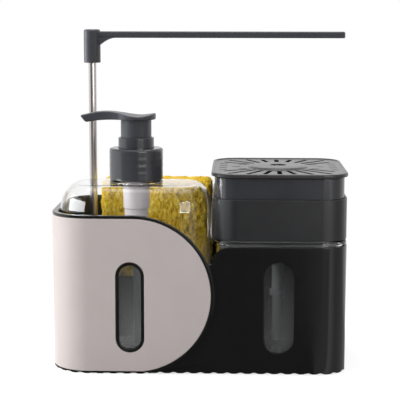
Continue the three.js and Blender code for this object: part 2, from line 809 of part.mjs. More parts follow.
function pressTray() {
  const body = prism(sleevePlan(trayInset), trayBottom, trayTop);
  const cup = prism(sleevePlan(trayInset + trayWall), cupFloor, trayTop + past);
  const under = prism(sleevePlan(trayInset + trayWall), trayBottom - past, trayUnderside);
  const boss = rod(bossDiameter, trayBossBottom, cupFloor);
  const bore = rod(pressStemDiameter + 2 * fit, trayBossBottom - past, cupFloor + past);
  return cut(join(cut(body, cup, under), boss), bore);
}

// A level slot with round ends, length long, whose middle is at (x, y) and which points along angle
function levelSlot(x, y, length, width, angle) {
  const shape = centred(length, width, width / 2);
  const geometry = new THREE.ExtrudeGeometry(shape, {
    depth: plateThickness + 2 * past, bevelEnabled: false, curveSegments: slotSteps,
  });
  return solid(geometry.rotateZ(angle).translate(x, y, plateBottom - past));
}

// One ray of the sunburst, from the middle's plain disc to the plate's margin
function raySlot(angle) {
  const way = new THREE.Vector2(Math.cos(angle), Math.sin(angle));
  const quarter = new THREE.Vector2(Math.abs(way.x), Math.abs(way.y));
  const radius = sleeveCorner + plateOverhang - rayMargin;
  const half = new THREE.Vector2(sleeveWidth, sleeveDepth).divideScalar(2)
    .addScalar(plateOverhang - rayMargin);
  const corner = half.clone().subScalar(radius);
  const along = quarter.dot(corner);
  const reach = along + Math.sqrt(Math.max(0, radius ** 2 - corner.lengthSq() + along ** 2));
  const arrival = quarter.clone().multiplyScalar(reach);
  const atCorner = arrival.x > corner.x && arrival.y > corner.y;
  const end = atCorner ? reach : Math.min(half.x / quarter.x, half.y / quarter.y);
  const middle = way.clone().multiplyScalar((rayStart + end) / 2);
  return levelSlot(middle.x, middle.y, end - rayStart, slotWidth, angle);
}

function drainSlots() {
  const slots = [];
  for (const facing of [-90, 90]) {
    for (let k = -raysEachSide; k <= raysEachSide; k += 1) {
      slots.push(raySlot(THREE.MathUtils.degToRad(facing + k * rayStep)));
    }
  }
  for (const [x, y] of dashPlaces) {
    for (const across of [-1, 1]) {
      for (const along of y ? [-1, 1] : [1]) {
        slots.push(levelSlot(across * x, along * y, dashLength, dashWidth, 0));
      }
    }
  }
  return slots;
}

function drainPlate() {
  const plate = prism(sleevePlan(-plateOverhang), plateBottom, plateTop);
  const ringInset = trayInset + trayWall + fit;
  const ring = cut(prism(sleevePlan(ringInset), plateBottom - plateRingDepth, plateBottom),
    prism(sleevePlan(ringInset + plateRing), plateBottom - plateRingDepth - past, plateBottom));
  const hole = rod(outletDiameter + 2 * fit, plateBottom - past, plateTop + past, roundSteps);
  return cut(join(plate, ring), hole, ...drainSlots());
}

function soapOutlet() {
  const bottom = cupFloor + fit;
  const socket = rod(pressStemDiameter + 2 * fit, bottom - past, pressStemTop + fit);
  const holes = [-1, 1].map((side) => rod(outletHole, pressStemTop, plateTop + past, smallSteps / 2)
    .translate(side * outletSpacing / 2, 0, 0));
  return cut(rod(outletDiameter, bottom, plateTop, roundSteps), socket, ...holes);
}

function pressCylinder() {
  const flange = cylinderFlangeDiameter / 2;
  const outer = cylinderDiameter / 2;
  const bore = cylinderBore / 2;
  const chamber = pressBallDiameter / 2 + fit;
  const chamberOuter = chamber + pressChamberWall;
  const neck = pressNeckDiameter / 2;
  const ring = pressRingDiameter / 2;
  const valve = pressValveBore / 2;
  const socket = pressTubeDiameter / 2 + fit;
  const foot = boreBottom - pressChamberWall;
  const socketTop = pressRingBottom + pressSocket;
  return turned([
    [bore, cylinderTop], [bore, boreBottom], [chamber, boreBottom], [chamber, pressSeat],
    [valve, pressSeat - valve / 2], [valve, socketTop], [socket, socketTop],
    [socket, pressRingBottom], [ring, pressRingBottom], [ring, pressNeckBottom],
    [neck, pressNeckBottom], [neck, pressSeat - pressChamberWall - chamberOuter + neck],
    [chamberOuter, pressSeat - pressChamberWall], [chamberOuter, foot], [outer, foot],
    [outer, deckTop + fit], [flange, deckTop + fit], [flange, cylinderTop], [bore, cylinderTop],
  ], smallSteps);
}

function cylinderCap() {
  const outer = capDiameter / 2;
  const plug = cylinderBore / 2 - fit;
  const hole = pressStemDiameter / 2 + fit;
  const bottom = cylinderTop + fit;
  return turned([[hole, cylinderTop - capPlug], [plug, cylinderTop - capPlug], [plug, bottom],
    [outer, bottom], [outer, capTop], [hole, capTop],
    [hole, cylinderTop - capPlug]], smallSteps);
}

function cylinderNut() {
  const nutSides = 6;
  const bottom = deckBottom - fit - nutHeight;
  return cut(rod(nutAcross, bottom, bottom + nutHeight, nutSides),
    rod(cylinderDiameter + 2 * fit, bottom - past, bottom + nutHeight + past, roundSteps));
}

function pressPiston() {
  return tube(cylinderBore - 2 * fit, pressStemDiameter + 2 * fit, pressPistonBottom, pressPistonTop);
}

function pressStem() {
  return tube(pressStemDiameter, pressStemBore, pressPistonBottom, pressStemTop);
}

function pressSpring() {
  const diameter = cylinderFlangeDiameter + 2 * pressSpringGap + 2 * pressSpringWire;
  return coil(diameter, pressSpringWire, deckTop + fit, trayUnderside - fit, pressSpringTurns);
}

function pressDipTube() {
  return tube(pressTubeDiameter, pressTubeBore, seat + tankFloor + dipTubeGap,
    pressRingBottom + pressSocket - fit);
}

// Assembly

add(group, 'caddy_body', caddyBody(), satinBlack);
add(group, 'fascia_panel', fasciaPanel(), warmWhite);
add(group, 'base_mat', baseMat(), rubber);

const spongeGroup = addGroup(spongeX, spongeY, seat + spongeHeight / 2);
add(spongeGroup, 'sponge', sponge(), cellulose);

const rail = addGroup(postX, spongeY, 0);
add(rail, 'rail_post', rod(postDiameter, seat, postTop), polished);
add(rail, 'rail_arm', railArm(), charcoal);
add(rail, 'rail_bush', railBush(), white);

const bottle = addGroup(bottleX, bottleY, 0);
add(bottle, 'lotion_bottle', lotionBottle(), clearPlastic);
add(bottle, 'closure_gasket', closureGasket(), seal);
add(bottle, 'pump_housing', pumpHousing(), white);
add(bottle, 'pump_closure', pumpClosure(), charcoal);
add(bottle, 'pump_collar', pumpCollar(), charcoal);
add(bottle, 'stem_guide', stemGuide(), white);
add(bottle, 'pump_piston', pumpPiston(), white);
add(bottle, 'pump_stem', tube(stemDiameter, stemBore, pumpPistonBottom, stemTop), white);
add(bottle, 'pump_head', pumpHead(), charcoal);
add(bottle, 'pump_spring', pumpSpring(), springWireSteel);
add(bottle, 'pump_ball', ball(ballDiameter, valveSeat + ballDiameter / 2 + fit), polished);
add(bottle, 'pump_dip_tube', pumpDipTube(), clearPlastic);

const press = addGroup(tankX, 0, 0);
add(press, 'soap_tank', soapTank(), clearPlastic);
add(press, 'tank_gasket', tankGasket(), seal);
add(press, 'tank_deck', tankDeck(), satinBlack);
add(press, 'press_tray', pressTray(), charcoalGloss);
add(press, 'drain_plate', drainPlate(), charcoal);
add(press, 'soap_outlet', soapOutlet(), charcoal);
add(press, 'press_cylinder', pressCylinder(), white);
add(press, 'cylinder_cap', cylinderCap(), white);
add(press, 'cylinder_nut', cylinderNut(), white);
add(press, 'press_piston', pressPiston(), white);
add(press, 'press_stem', pressStem(), white);
add(press, 'press_spring', pressSpring(), springWireSteel);
add(press, 'press_ball', ball(pressBallDiameter, pressSeat + pressBallDiameter / 2 + fit), polished);
add(press, 'press_dip_tube', pressDipTube(), clearPlastic);

export default group;
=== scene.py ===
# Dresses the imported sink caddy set: smooth pieces, materials, studio light and the photo's camera.
import math

import bmesh
import bpy
from mathutils import Matrix, Vector, noise
from mathutils.geometry import tessellate_polygon

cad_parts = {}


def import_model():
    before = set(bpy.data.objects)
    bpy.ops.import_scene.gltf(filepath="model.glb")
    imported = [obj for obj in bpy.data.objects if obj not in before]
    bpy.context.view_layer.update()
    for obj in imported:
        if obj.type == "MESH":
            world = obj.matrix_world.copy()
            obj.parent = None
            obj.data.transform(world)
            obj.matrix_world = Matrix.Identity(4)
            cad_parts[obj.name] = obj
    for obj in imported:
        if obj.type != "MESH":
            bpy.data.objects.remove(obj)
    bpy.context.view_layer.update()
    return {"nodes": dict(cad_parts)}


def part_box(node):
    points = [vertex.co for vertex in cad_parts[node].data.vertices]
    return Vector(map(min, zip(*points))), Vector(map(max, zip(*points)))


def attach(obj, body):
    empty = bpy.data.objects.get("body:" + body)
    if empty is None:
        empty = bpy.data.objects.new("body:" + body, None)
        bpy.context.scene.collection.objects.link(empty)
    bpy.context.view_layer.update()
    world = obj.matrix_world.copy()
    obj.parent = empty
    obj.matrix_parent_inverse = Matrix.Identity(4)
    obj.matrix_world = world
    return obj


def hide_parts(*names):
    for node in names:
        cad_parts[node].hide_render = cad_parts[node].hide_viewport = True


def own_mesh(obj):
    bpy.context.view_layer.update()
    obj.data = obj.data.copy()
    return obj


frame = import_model()
NODES = frame["nodes"]
MM = 0.001


def axis(node):
    """Where a turned node's upright axis stands, in millimetres."""
    low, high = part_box(node)
    return tuple((low[i] + high[i]) / 2 / MM for i in (0, 1))


PUMP, PRESS, POST = axis("pump_housing"), axis("press_cylinder"), axis("rail_post")


# Node graphs: add makes a node and link joins two sockets

RANGE = ("From Min", "From Max", "To Min", "To Max")


def parted(add, link, place):
    """The X, Y and Z of a vector."""
    node = add("ShaderNodeSeparateXYZ")
    link(place, node.inputs[0])
    return node.outputs


def ranged(add, link, value, *numbers):
    """A smooth step: from start to end of the value, the result runs from low to high."""
    node = add("ShaderNodeMapRange")
    node.interpolation_type = "SMOOTHSTEP"
    link(value, node.inputs["Value"])
    for key, number in zip(RANGE, numbers):
        node.inputs[key].default_value = number
    return node.outputs["Result"]


def merged(add, link, *values, how="MAXIMUM"):
    """One value out of several, two at a time."""
    total = values[0]
    for value in values[1:]:
        node = add("ShaderNodeMath")
        node.operation = how
        link(total, node.inputs[0])
        link(value, node.inputs[1])
        total = node.outputs[0]
    return total


# Node materials

LOW, HIGH = 0.3, 0.7  # the stretch of a noise that colours and roughness follow


class Shader:
    """A material with one Principled shader and short calls for the nodes that feed it."""

    SOCKETS = {"color": "Base Color", "rough": "Roughness", "metal": "Metallic", "ior": "IOR",
               "clear": "Transmission Weight", "spec": "Specular IOR Level", "normal": "Normal"}

    def __init__(self, name):
        self.material = bpy.data.materials.new(name)
        self.material.use_nodes = True
        self.tree = self.material.node_tree
        self.tree.nodes.clear()
        self.out = self.add("ShaderNodeOutputMaterial")
        self.main = self.add("ShaderNodeBsdfPrincipled")
        self.link(self.main.outputs[0], self.out.inputs["Surface"])
        self.place = self.add("ShaderNodeTexCoord").outputs["Object"]

    def add(self, kind, **values):
        node = self.tree.nodes.new(kind)
        for key, value in values.items():
            setattr(node, key, value)
        return node

    def link(self, source, target):
        self.tree.links.new(source, target)

    def feed(self, socket, value):
        if isinstance(value, bpy.types.NodeSocket):
            self.link(value, socket)
        else:
            socket.default_value = value

    def set(self, **values):
        for key, value in values.items():
            self.feed(self.main.inputs[self.SOCKETS[key]], value)

    def stretched(self, scale, turn=(0, 0, 0)):
        node = self.add("ShaderNodeMapping")
        self.feed(node.inputs["Vector"], self.place)
        node.inputs["Scale"].default_value = scale
        node.inputs["Rotation"].default_value = turn
        return node.outputs[0]

    def noise(self, scale, detail, rough=0.55, vector=None, warp=0.0):
        node = self.add("ShaderNodeTexNoise")
        self.feed(node.inputs["Vector"], vector or self.place)
        numbers = {"Scale": scale, "Detail": detail, "Roughness": rough, "Distortion": warp}
        for key, number in numbers.items():
            node.inputs[key].default_value = number
        return node.outputs["Fac"]

    def ramp(self, value, *stops):
        node = self.add("ShaderNodeValToRGB")
        self.feed(node.inputs["Fac"], value)
        points = node.color_ramp.elements
        while len(points) < len(stops):
            points.new(0.5)
        for point, (at, colour) in zip(points, stops):
            point.position = at
            point.color = (*colour, 1)
        return node.outputs["Color"]

    def blend(self, value, dark, light):
        """A colour that a noise takes from dark to light."""
        return self.ramp(value, (LOW, dark), (HIGH, light))

    def span(self, value, low, high, start=LOW, end=HIGH):
        node = self.add("ShaderNodeMapRange")
        self.feed(node.inputs["Value"], value)
        for key, number in zip(RANGE, (start, end, low, high)):
            node.inputs[key].default_value = number
        return node.outputs["Result"]

    def uneven(self, value, rough):
        """A roughness that a noise varies a little."""
        less, more = 0.02, 0.03
        return self.span(value, rough - less, rough + more)

    def maths(self, how, a, b):
        node = self.add("ShaderNodeMath", operation=how)
        self.feed(node.inputs[0], a)
        self.feed(node.inputs[1], b)
        return node.outputs[0]

    def vectors(self, how, *values):
        node = self.add("ShaderNodeVectorMath", operation=how)
        for socket, value in zip(node.inputs, values):
            self.feed(socket, value)
        return node.outputs[0]

    def bump(self, height, depth):
        node = self.add("ShaderNodeBump")
        self.feed(node.inputs["Height"], height)
        node.inputs["Distance"].default_value = depth
        return node.outputs["Normal"]


def moulded(name, dark, light, rough, grain=0.0000004, spec=0.5):
    """Moulded plastic: a faint mottle, uneven gloss and a fine tooled grain of that depth."""
    mottle, patches, tooling = 60, 140, 2600  # noise scales, per metre
    s = Shader(name)
    s.set(color=s.blend(s.noise(mottle, 4), dark, light),
          rough=s.uneven(s.noise(patches, 3), rough),
          normal=s.bump(s.noise(tooling, 2), grain), spec=spec)
    return s.material


def clear_plastic(name, haze):
    """Clear moulding that turns a little cloudy towards its floor."""
    hazy_below, clear_above = 0.02, 0.075  # metres over the counter
    pale, bend, patches = (0.985, 0.985, 0.985, 1), 1.36, 90
    s = Shader(name)
    height = parted(s.add, s.link, s.place)["Z"]
    s.set(color=pale, rough=s.span(s.noise(patches, 2), 0.0, 0.02),
          clear=s.span(height, 1.0 - haze, 1.0, hazy_below, clear_above), ior=bend)
    return s.material


def natural_plastic():
    """Milky moulding that lets some light through, for tubes and barrels."""
    mottle, patches, bend = 80, 140, 1.4
    s = Shader("natural_plastic")
    s.set(color=s.blend(s.noise(mottle, 3), (0.4, 0.41, 0.42), (0.47, 0.48, 0.49)),
          rough=s.span(s.noise(patches, 3), 0.36, 0.44), clear=0.45, ior=bend)
    return s.material


def steel(name, rough, dark, light):
    """Drawn steel: fine lines along its length."""
    across, along = 400, 3
    s = Shader(name)
    lines = s.noise(1, 3, 0.5, s.stretched((across, across, along)))
    s.set(color=s.blend(lines, dark, light), metal=1.0, rough=s.uneven(lines, rough))
    return s.material


def cellulose():
    """Dry sponge: light strands that lean both ways and small pores, with painted shade: the colour
    turns dark brown in the gaps between strands.
    """
    detail, grit, warp = 3, 0.6, 0.5
    share = 0.75  # of the strands; the pores have the rest
    s = Shader("yellow_sponge")
    rising = s.noise(1, detail, grit, s.stretched((470, 470, 205), (0.0, 0.55, 0.3)), warp)
    falling = s.noise(1, detail, grit, s.stretched((500, 500, 220), (0.0, -0.35, 0.7)), warp)
    pores = s.noise(1100, 2, 0.5)
    strands = s.maths("MULTIPLY", s.maths("MAXIMUM", rising, falling), share)
    relief_and_shade = s.maths("ADD", strands, s.maths("MULTIPLY", pores, 1 - share))
    # painted shade: the lower the relief, the darker brown the colour, so the gaps between strands
    # look shaded
    s.set(color=s.ramp(relief_and_shade, (0.42, (0.33, 0.166, 0.002)), (0.5, (0.63, 0.385, 0.014)),
                       (0.57, (0.8, 0.54, 0.047)), (0.65, (0.94, 0.755, 0.165))),
          rough=s.span(pores, 0.85, 1.0), normal=s.bump(relief_and_shade, 0.001), spec=0.1)
    return s.material


# Each with the dark and light of its colour, its roughness, and what else sets it apart
SATIN = moulded("dark_satin", (0.003, 0.0031, 0.0031), (0.0045, 0.0046, 0.0046), 0.15, spec=0.45)
SLEEVE = moulded("sleeve_satin", (0.0105, 0.0107, 0.0118), (0.0135, 0.0137, 0.015), 0.34,
                 spec=0.44)
CHARCOAL = moulded("charcoal_plastic", (0.038, 0.038, 0.044), (0.046, 0.046, 0.052), 0.14,
                   spec=0.46)
HEAD = moulded("head_plastic", (0.048, 0.048, 0.0565), (0.055, 0.055, 0.0635), 0.36, spec=0.44)
PLATE = moulded("plate_plastic", (0.035, 0.032, 0.033), (0.041, 0.038, 0.039), 0.26, spec=0.37)
GLOSS = moulded("charcoal_gloss", (0.028, 0.0285, 0.034), (0.033, 0.0335, 0.039), 0.17, spec=0.66)
PANEL = moulded("white_panel", (0.502, 0.436, 0.422), (0.522, 0.456, 0.442), 0.36)
WHITE = moulded("white_plastic", (0.475, 0.428, 0.44), (0.515, 0.468, 0.48), 0.35)
RUBBER = moulded("dark_rubber", (0.02, 0.02, 0.02), (0.03, 0.03, 0.03), 0.8, grain=0.00003)
SEAL = moulded("grey_rubber", (0.09, 0.09, 0.09), (0.12, 0.12, 0.12), 0.6, grain=0.000005)
CLEAR = clear_plastic("clear_bottle_plastic", haze=0.085)
TANK = clear_plastic("clear_tank_plastic", haze=0.035)
NATURAL = natural_plastic()
POLISHED = steel("polished_steel", 0.29, (0.53, 0.495, 0.48), (0.57, 0.535, 0.52))
WIRE = steel("spring_steel", 0.3, (0.5, 0.49, 0.48), (0.6, 0.59, 0.58))
SPONGE = cellulose()


# Mesh helpers: every size is in millimetres and becomes metres when the mesh is made

SEAM = 0.000005  # metres: points closer than this become one
SLIVER = 0.000001  # metres: faces thinner than this go


def piece(name, points, faces, material, body, slot, *nodes):
    """A smooth closed mesh that rides on a body and stands for CAD nodes."""
    mesh = bpy.data.meshes.new(name)
    mesh.from_pydata([Vector(p) * MM for p in points], [], faces)
    work = bmesh.new()
    work.from_mesh(mesh)
    bmesh.ops.remove_doubles(work, verts=work.verts, dist=SEAM)
    bmesh.ops.dissolve_degenerate(work, dist=SLIVER, edges=work.edges)
    bmesh.ops.recalc_face_normals(work, faces=work.faces)
    for face in work.faces:
        face.smooth = True
    work.to_mesh(mesh)
    work.free()
    mesh.materials.append(material)
    thing = bpy.data.objects.new(name, mesh)
    bpy.context.scene.collection.objects.link(thing)
    thing.modifiers.new("even", "WEIGHTED_NORMAL").keep_sharp = True
    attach(thing, body)
    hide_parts(*nodes)
    return thing


def quarter(steps):
    """The angles of a quarter turn, both ends included."""
    return [math.radians(90 * k / steps) for k in range(steps + 1)]


def ring(width, depth, radius, z, centre, steps):
    """A level rounded rectangle of points, with so many steps in each corner."""
    points = []
    for sx, sy, start in ((1, -1, -90), (1, 1, 0), (-1, 1, 90), (-1, -1, 180)):
        for k in range(steps + 1):
            angle = math.radians(start + 90 * k / steps)
            points.append((centre[0] + sx * (width / 2 - radius) + radius * math.cos(angle),
                           centre[1] + sy * (depth / 2 - radius) + radius * math.sin(angle), z))
    return points


def circle(radius, z, centre, steps=16):
    return ring(2 * radius, 2 * radius, radius, z, centre, steps)


def skin(rings, wrap):
    """Faces through rings of points, with capped ends or with the last ring joined to the first."""
    count = len(rings[0])
    points = [p for each in rings for p in each]
    pairs = [(i, (i + 1) % len(rings)) for i in range(len(rings) if wrap else len(rings) - 1)]
    faces = []
    for a, b in pairs:
        for k in range(count):
            n = (k + 1) % count
            faces.append((a * count + k, a * count + n, b * count + n, b * count + k))
    if not wrap:
        faces.append(tuple(range(count))[::-1])
        faces.append(tuple(range(len(points) - count, len(points))))
    return points, faces


def walls(rings):
    """Faces through rings of points, open at both ends."""
    points, faces = skin(rings, False)
    return points, faces[:-2]


def sheet(*loops):
    """Level faces inside the first loop of points and outside the others."""
    return [p for loop in loops for p in loop], tessellate_polygon(loops)


def filleted(corners, wrap, steps=5):
    """A path through corners (across, up, radius), each rounded by its radius."""
    path = []
    for i, (across, up, radius) in enumerate(corners):
        here = Vector((across, up))
        if not radius or (not wrap and i in (0, len(corners) - 1)):
            path.append((across, up))
            continue
        to = (Vector(corners[i - 1][:2]) - here).normalized()
        on = (Vector(corners[(i + 1) % len(corners)][:2]) - here).normalized()
        half = to.angle(on) / 2
        centre = here + (to + on).normalized() * (radius / math.sin(half))
        first = here + to * (radius / math.tan(half)) - centre
        last = here + on * (radius / math.tan(half)) - centre
        turn = math.atan2(first.x * last.y - first.y * last.x, first.dot(last))
        for k in range(steps + 1):
            c, s = math.cos(turn * k / steps), math.sin(turn * k / steps)
            path.append((centre.x + first.x * c - first.y * s,
                         centre.y + first.x * s + first.y * c))
    return path


def lathe(corners, centre, wrap=True, steps=16):
    """A turned solid from corners (radius, height, rounding)."""
    return skin([circle(r, z, centre, steps) for r, z in filleted(corners, wrap)], wrap)


def joined(*solids):
    """The points and faces of several solids in one list each."""
    points, faces = [], []
    for some, their in solids:
        faces += [tuple(i + len(points) for i in face) for face in their]
        points += some
    return points, faces


def between(table, x):
    """A smooth curve through the table's (x, value) rows."""
    rows = [table[0], *table, table[-1]]
    for i in range(1, len(rows) - 2):
        (x0, a), (x1, b), (x2, c), (x3, d) = rows[i - 1:i + 3]
        if x <= x2 or i == len(rows) - 3:
            t = min(1.0, max(0.0, (x - x1) / (x2 - x1)))
            m1 = (c - a) / (x2 - x0) * (x2 - x1)
            m2 = (d - b) / (x3 - x1) * (x2 - x1)
            return ((2 * t ** 3 - 3 * t ** 2 + 1) * b + (t ** 3 - 2 * t ** 2 + t) * m1
                    + (-2 * t ** 3 + 3 * t ** 2) * c + (t ** 3 - t ** 2) * m2)


# Pump bottle: clear vessel, white pump body and charcoal top

def bottle():
    """Clear vessel: a rounded block with soft shoulders, hollow, with a round neck."""
    seat, top, neck_top = 5.5, 113.2, 128.6
    width, depth, corner, around = 92.7, 55.4, 20.5, 28
    wall, bottom, foot, inner_foot = 0.5, 1.6, 2.5, 2.0  # two thicknesses and two roundings
    inset, drop = 11.0, 16.0  # of the shoulder, inwards and down
    # Rows of radius and rise, over the shoulder, the neck's end and the shoulder's inside
    bead = ((15.8, 0.05), (16.25, 0.2), (16.5, 0.55), (16.5, 0.95), (16.25, 1.3), (15.8, 1.5),
            (13.9, 1.6), (13.65, 1.8))
    mouth = ((13.65, -0.5), (13.15, 0), (11.75, 0), (11.45, -0.4))
    throat = ((11.45, 0.3), (12.3, 0))
    rings = []

    def level(inward, z):
        rings.append(ring(width - 2 * inward, depth - 2 * inward, corner - inward, z, PUMP, around))

    for a in quarter(6):
        level(foot * (1 - math.sin(a)), seat + foot * (1 - math.cos(a)))
    for a in quarter(32):
        level(inset * (1 - math.cos(a)), top - drop + drop * math.sin(a))
    for rows, height in ((bead, top), (mouth, neck_top), (throat, top - wall)):
        rings += [circle(radius, height + rise, PUMP, around) for radius, rise in rows]
    for a in reversed(quarter(32)):
        level(wall + (inset - wall) * (1 - math.cos(a)),
              top - drop + (drop - wall) * math.sin(a))
    for a in reversed(quarter(6)):
        level(wall + inner_foot * (1 - math.sin(a)),
              seat + bottom + inner_foot * (1 - math.cos(a)))
    thing = piece("clear_bottle", *skin(rings, False), CLEAR, "bottle", "clear_plastic",
                  "lotion_bottle")
    thing.visible_shadow = False


def pump():
    body = [(13.35, 130.4, 0.2), (13.35, 131.8, 0.2), (10.05, 131.8, 0.2), (10.05, 126, 0),
            (6.7, 126, 0), (6.7, 93.5, 0), (2.7, 93.5, 0), (2.7, 86.1, 0), (1.5, 84.9, 0),
            (1.5, 78.1, 0), (2.6, 78.1, 0), (2.6, 72.1, 0), (4, 72.1, 0.5), (4, 86.1, 0.6),
            (7.3, 92.4, 0.8), (7.4, 97.0, 0.3), (8.1, 97.6, 0.3), (8.25, 125, 0),
            (11.05, 125, 0.3), (11.05, 130.4, 0)]
    piece("pump_body", *lathe(body, PUMP), WHITE, "pump_unit", "white_plastic", "pump_housing")
    tube = [(1.6, 9.6, 0), (2.3, 9.6, 0.2), (2.3, 77.8, 0.2), (1.6, 77.8, 0)]
    piece("pump_tube", *lathe(tube, PUMP), NATURAL, "pump_unit", "clear_plastic", "pump_dip_tube")
    collar = [(9.75, 132.1, 0), (12.4, 132.1, 0.2), (12.4, 133.1, 0.2), (11, 133.1, 0.2),
              (11, 141.3, 0.5), (9.75, 141.3, 0.3)]
    piece("collar", *lathe(collar, PUMP), CHARCOAL, "closure", "charcoal_plastic", "pump_collar")
    closure()
    head()


def closure():
    """Screw closure whose wall shows faint sink marks over the thread inside."""
    low, deck, high = 115.2, 133.4, 134.8
    outer, inner, hole, draft = 16.55, 13.95, 11.3, 0.1
    sink, pitch, steps = 0.03, 4.4, 40  # the marks' depth and spacing, and the wall's rings
    near, tall = 0.12, 5  # what tells the wall from the path's other stretches
    path = filleted([(inner, low, 0.2), (outer - draft, low, 0.5), (outer, high, 1.5),
                     (hole, high, 0.3), (hole, deck, 0), (inner, deck, 0)], True, 6)
    rows = []
    for (radius, z), (_, over) in zip(path, path[1:] + path[:1]):
        rows.append((radius, z))
        if abs(radius - outer) < near and over - z > tall:
            for k in range(1, steps):
                up = z + (over - z) * k / steps
                fade = math.sin(math.pi * k / steps)
                wave = sink * math.cos(2 * math.pi * (up - low) / pitch) * fade
                rows.append((outer - sink + wave, up))
    solid = skin([circle(radius, z, PUMP) for radius, z in rows], True)
    piece("screw_closure", *solid, CHARCOAL, "closure", "charcoal_plastic", "pump_closure")


def head():
    """Thumb pad and spout: outlines in plan stacked between a lower and an upper curve."""
    base, reach, pad, tip, edge = 152.3, 34.4, 12.2, 4.0, 0.8
    nose = 1.2  # rounding of the spout's end in plan
    flare, flare_from, flare_run = 3.17, -24, 14.13  # from spout to pad
    flare_step, flare_points = 0.883, 17
    turn_from, turn_step = 144, 6  # degrees around the pad, from where the flare ends
    cut, cut_from, cut_run = 3.2, -26, 7.5  # slant of the spout's end
    # Rows of x from the axis and height over the base
    upper = [(-reach, 2.4), (-26, 4.4), (-17.5, 5.0), (-10, 4.15), (-4, 2.85), (2.2, 2.2),
             (7, 2.75), (pad, 3.9)]
    lower = [(-reach, -1.5), (-31.2, -1.5), (-24, -0.6), (-17.5, -0.12), (-9.3, 0), (pad, 0)]
    half = [(-reach + nose * (1 - math.cos(a)), tip - nose * (1 - math.sin(a)))
            for a in quarter(6)]
    half += [(x, tip + flare * ((x - flare_from) / flare_run) ** 2)
             for x in (flare_from + flare_step * k for k in range(flare_points))]
    half += [(pad * math.cos(a), pad * math.sin(a))
             for a in (math.radians(turn_from - turn_step * k)
                       for k in range(1, turn_from // turn_step + 1))]
    outline = [(-reach, 0.0)] + half
    outline += [(x, -y) for x, y in reversed(outline[1:-1])]
    count = len(outline)
    normals = []
    for i in range(count):
        (ax, ay), (bx, by) = outline[i - 1], outline[(i + 1) % count]
        along = Vector((bx - ax, by - ay)).normalized()
        normals.append((-along.y, along.x))

    def layer(inward, rise, from_top):
        points = []
        for (x, y), (nx, ny) in zip(outline, normals):
            px, py = x - nx * inward, y - ny * inward
            sole, roof = between(lower, px), between(upper, px)
            z = roof - rise if from_top else sole + rise
            share = min(1.0, max(0.0, (cut_from - px) / cut_run))
            slant = cut * (roof - z) / (roof - sole) * share
            points.append((PUMP[0] + px + slant, PUMP[1] + py, base + z))
        return points

    rows = [(edge * (1 - math.sin(a)), edge * (1 - math.cos(a))) for a in quarter(5)]
    rings = [layer(*row, False) for row in rows] + [layer(*row, True) for row in reversed(rows)]
    points, faces = walls(rings)
    for first in (0, len(points) - count):
        faces += [tuple(first + k % count for k in (i, i + 1, count - i - 1, count - i))
                  for i in range(1, count // 2)]
        faces.append((first, first + 1, first + count - 1))
    skirt = lathe([(8.05, 140.7, 0.2), (9.45, 140.7, 0.3), (9.45, 152.7, 0), (8.05, 152.7, 0)],
                  PUMP)
    stem = lathe([(3.6, 141.3, 0), (5, 141.3, 0.2), (5, 152.7, 0), (3.6, 152.7, 0)], PUMP)
    piece("spout_head", *joined((points, faces), skirt, stem), HEAD, "pump_top",
          "charcoal_plastic", "pump_head")


# Press dispenser: clear tank, the barrel and tube that its window shows, and the drain plate

def tank():
    seat, top, around = 5.5, 81.4, 14
    # Sections as width, depth and corner radius
    outer, flange, inner = (76.8, 86.8, 13.1), (82.0, 92.0, 15.7), (72.8, 82.8, 11.1)
    # Up the outside and down the inside, as section, inset and height
    path = [(outer, 2.0, seat), (outer, 0, seat + 2.0), (outer, 0, 78.0), (flange, 0.9, 78.3),
            (flange, 0.3, 78.7), (flange, 0, 79.6), (flange, 0.2, 80.7), (flange, 0.8, top),
            (inner, -0.6, top), (inner, 0, top - 0.6), (inner, 0, seat + 4.4),
            (inner, 0.6, seat + 3.0), (inner, 2.0, seat + 2.4)]
    rings = [ring(w - 2 * i, d - 2 * i, r - i, z, PRESS, around) for (w, d, r), i, z in path]
    thing = piece("clear_tank", *skin(rings, False), TANK, "tank", "clear_plastic", "soap_tank")
    thing.visible_shadow = False
    barrel = [(6.5, 86.5, 0), (6.5, 67.5, 0), (2.8, 67.5, 0), (2.8, 61.5, 0), (1.6, 60.7, 0),
              (1.6, 42.9, 0), (3.3, 42.9, 0), (3.3, 39.5, 0), (4.5, 39.5, 0.4), (4.5, 43.5, 0.4),
              (3.3, 43.5, 0.3), (3.3, 59, 0.4), (4.3, 60, 0.4), (4.3, 66, 0.4), (8, 66, 0.6),
              (8, 84.5, 0.2), (11.5, 84.5, 0.3), (11.5, 86.5, 0.3)]
    piece("press_barrel", *lathe(barrel, PRESS), NATURAL, "deck", "white_plastic", "press_cylinder")
    tube = [(2.2, 10.4, 0), (3, 10.4, 0.2), (3, 42.6, 0.2), (2.2, 42.6, 0)]
    piece("press_tube", *lathe(tube, PRESS), NATURAL, "deck", "clear_plastic", "press_dip_tube")


PLATE_WIDTH, PLATE_DEPTH, PLATE_CORNER = 82.8, 92.8, 16.1


def ray_end(angle, half, radius):
    """How far a ray runs from the middle of a rounded rectangle to its edge."""
    way = Vector((abs(math.cos(angle)), abs(math.sin(angle))))
    corner = half - Vector((radius, radius))
    along = way.dot(corner)
    reach = along + math.sqrt(max(0.0, radius ** 2 - corner.length_squared + along ** 2))
    if way.x * reach > corner.x and way.y * reach > corner.y:
        return reach
    return min(half.x / way.x, half.y / way.y)


